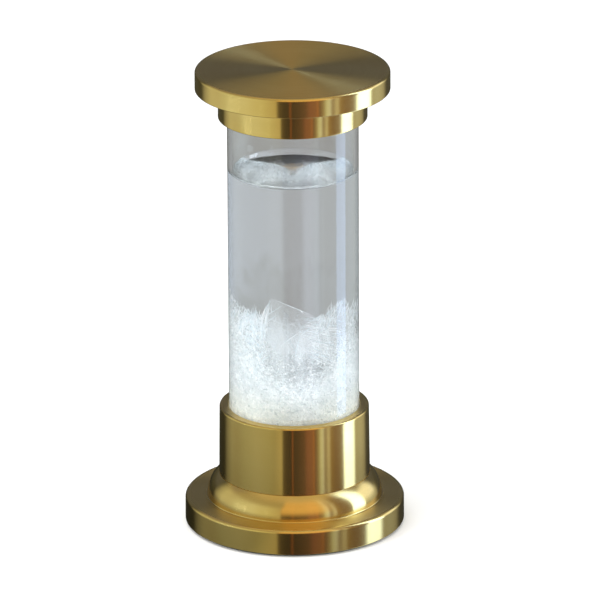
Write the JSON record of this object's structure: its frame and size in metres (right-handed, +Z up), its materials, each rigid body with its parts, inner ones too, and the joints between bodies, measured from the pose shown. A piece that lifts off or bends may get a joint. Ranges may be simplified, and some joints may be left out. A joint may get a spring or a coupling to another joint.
{
  "type": "storm glass",
  "caption": "Desk storm glass: a sealed clear tube of liquid with a white bed of feathery crystals, held between a turned brass base and a turned brass cap.",
  "frame": {"origin": "centre of the underside that it stands on, on the tube's axis", "axes": "+Z up along the tube, towards the cap; round about Z, with X and Y level and the pictured side facing -Y"},
  "size_m": [0.0842, 0.0842, 0.1818],
  "materials": {
    "brass": "satin",
    "steel": "satin",
    "tube_glass": "polished",
    "liquid": "polished",
    "crystal": "satin",
    "rubber": "matte",
    "cork": "matte",
    "felt": "matte",
    "resin": "satin"
  },
  "bodies": {
    "base": {"base_foot": "brass", "socket_collar": "brass", "foot_pad": "felt", "base_screw": "steel", "base_washer": "steel", "lock_washer": "steel", "tube_cushion": "cork", "socket_seal_ring": "rubber"},
    "vessel": {"glass_tube": "tube_glass", "storm_liquid": "liquid", "crystal_bed": "crystal", "crystal_plate_1": "crystal", "crystal_plate_2": "crystal", "crystal_plate_3": "crystal", "crystal_plate_4": "crystal", "crystal_plate_5": "crystal", "crystal_plate_6": "crystal", "stopper": "rubber", "resin_seal": "resin"},
    "cap": {"cap_ring": "brass", "cap_disc": "brass", "cap_screw": "steel", "cap_seal_ring": "rubber", "cap_cushion": "cork"}
  },
  "joints": [
    {"name": "vessel_lift", "type": "slide", "parent": "base", "child": "vessel", "axis": [0, 0, 1], "range_m": [0, 0.05]},
    {"name": "cap_lift", "type": "slide", "parent": "vessel", "child": "cap", "axis": [0, 0, 1], "range_m": [0, 0.03]}
  ]
}
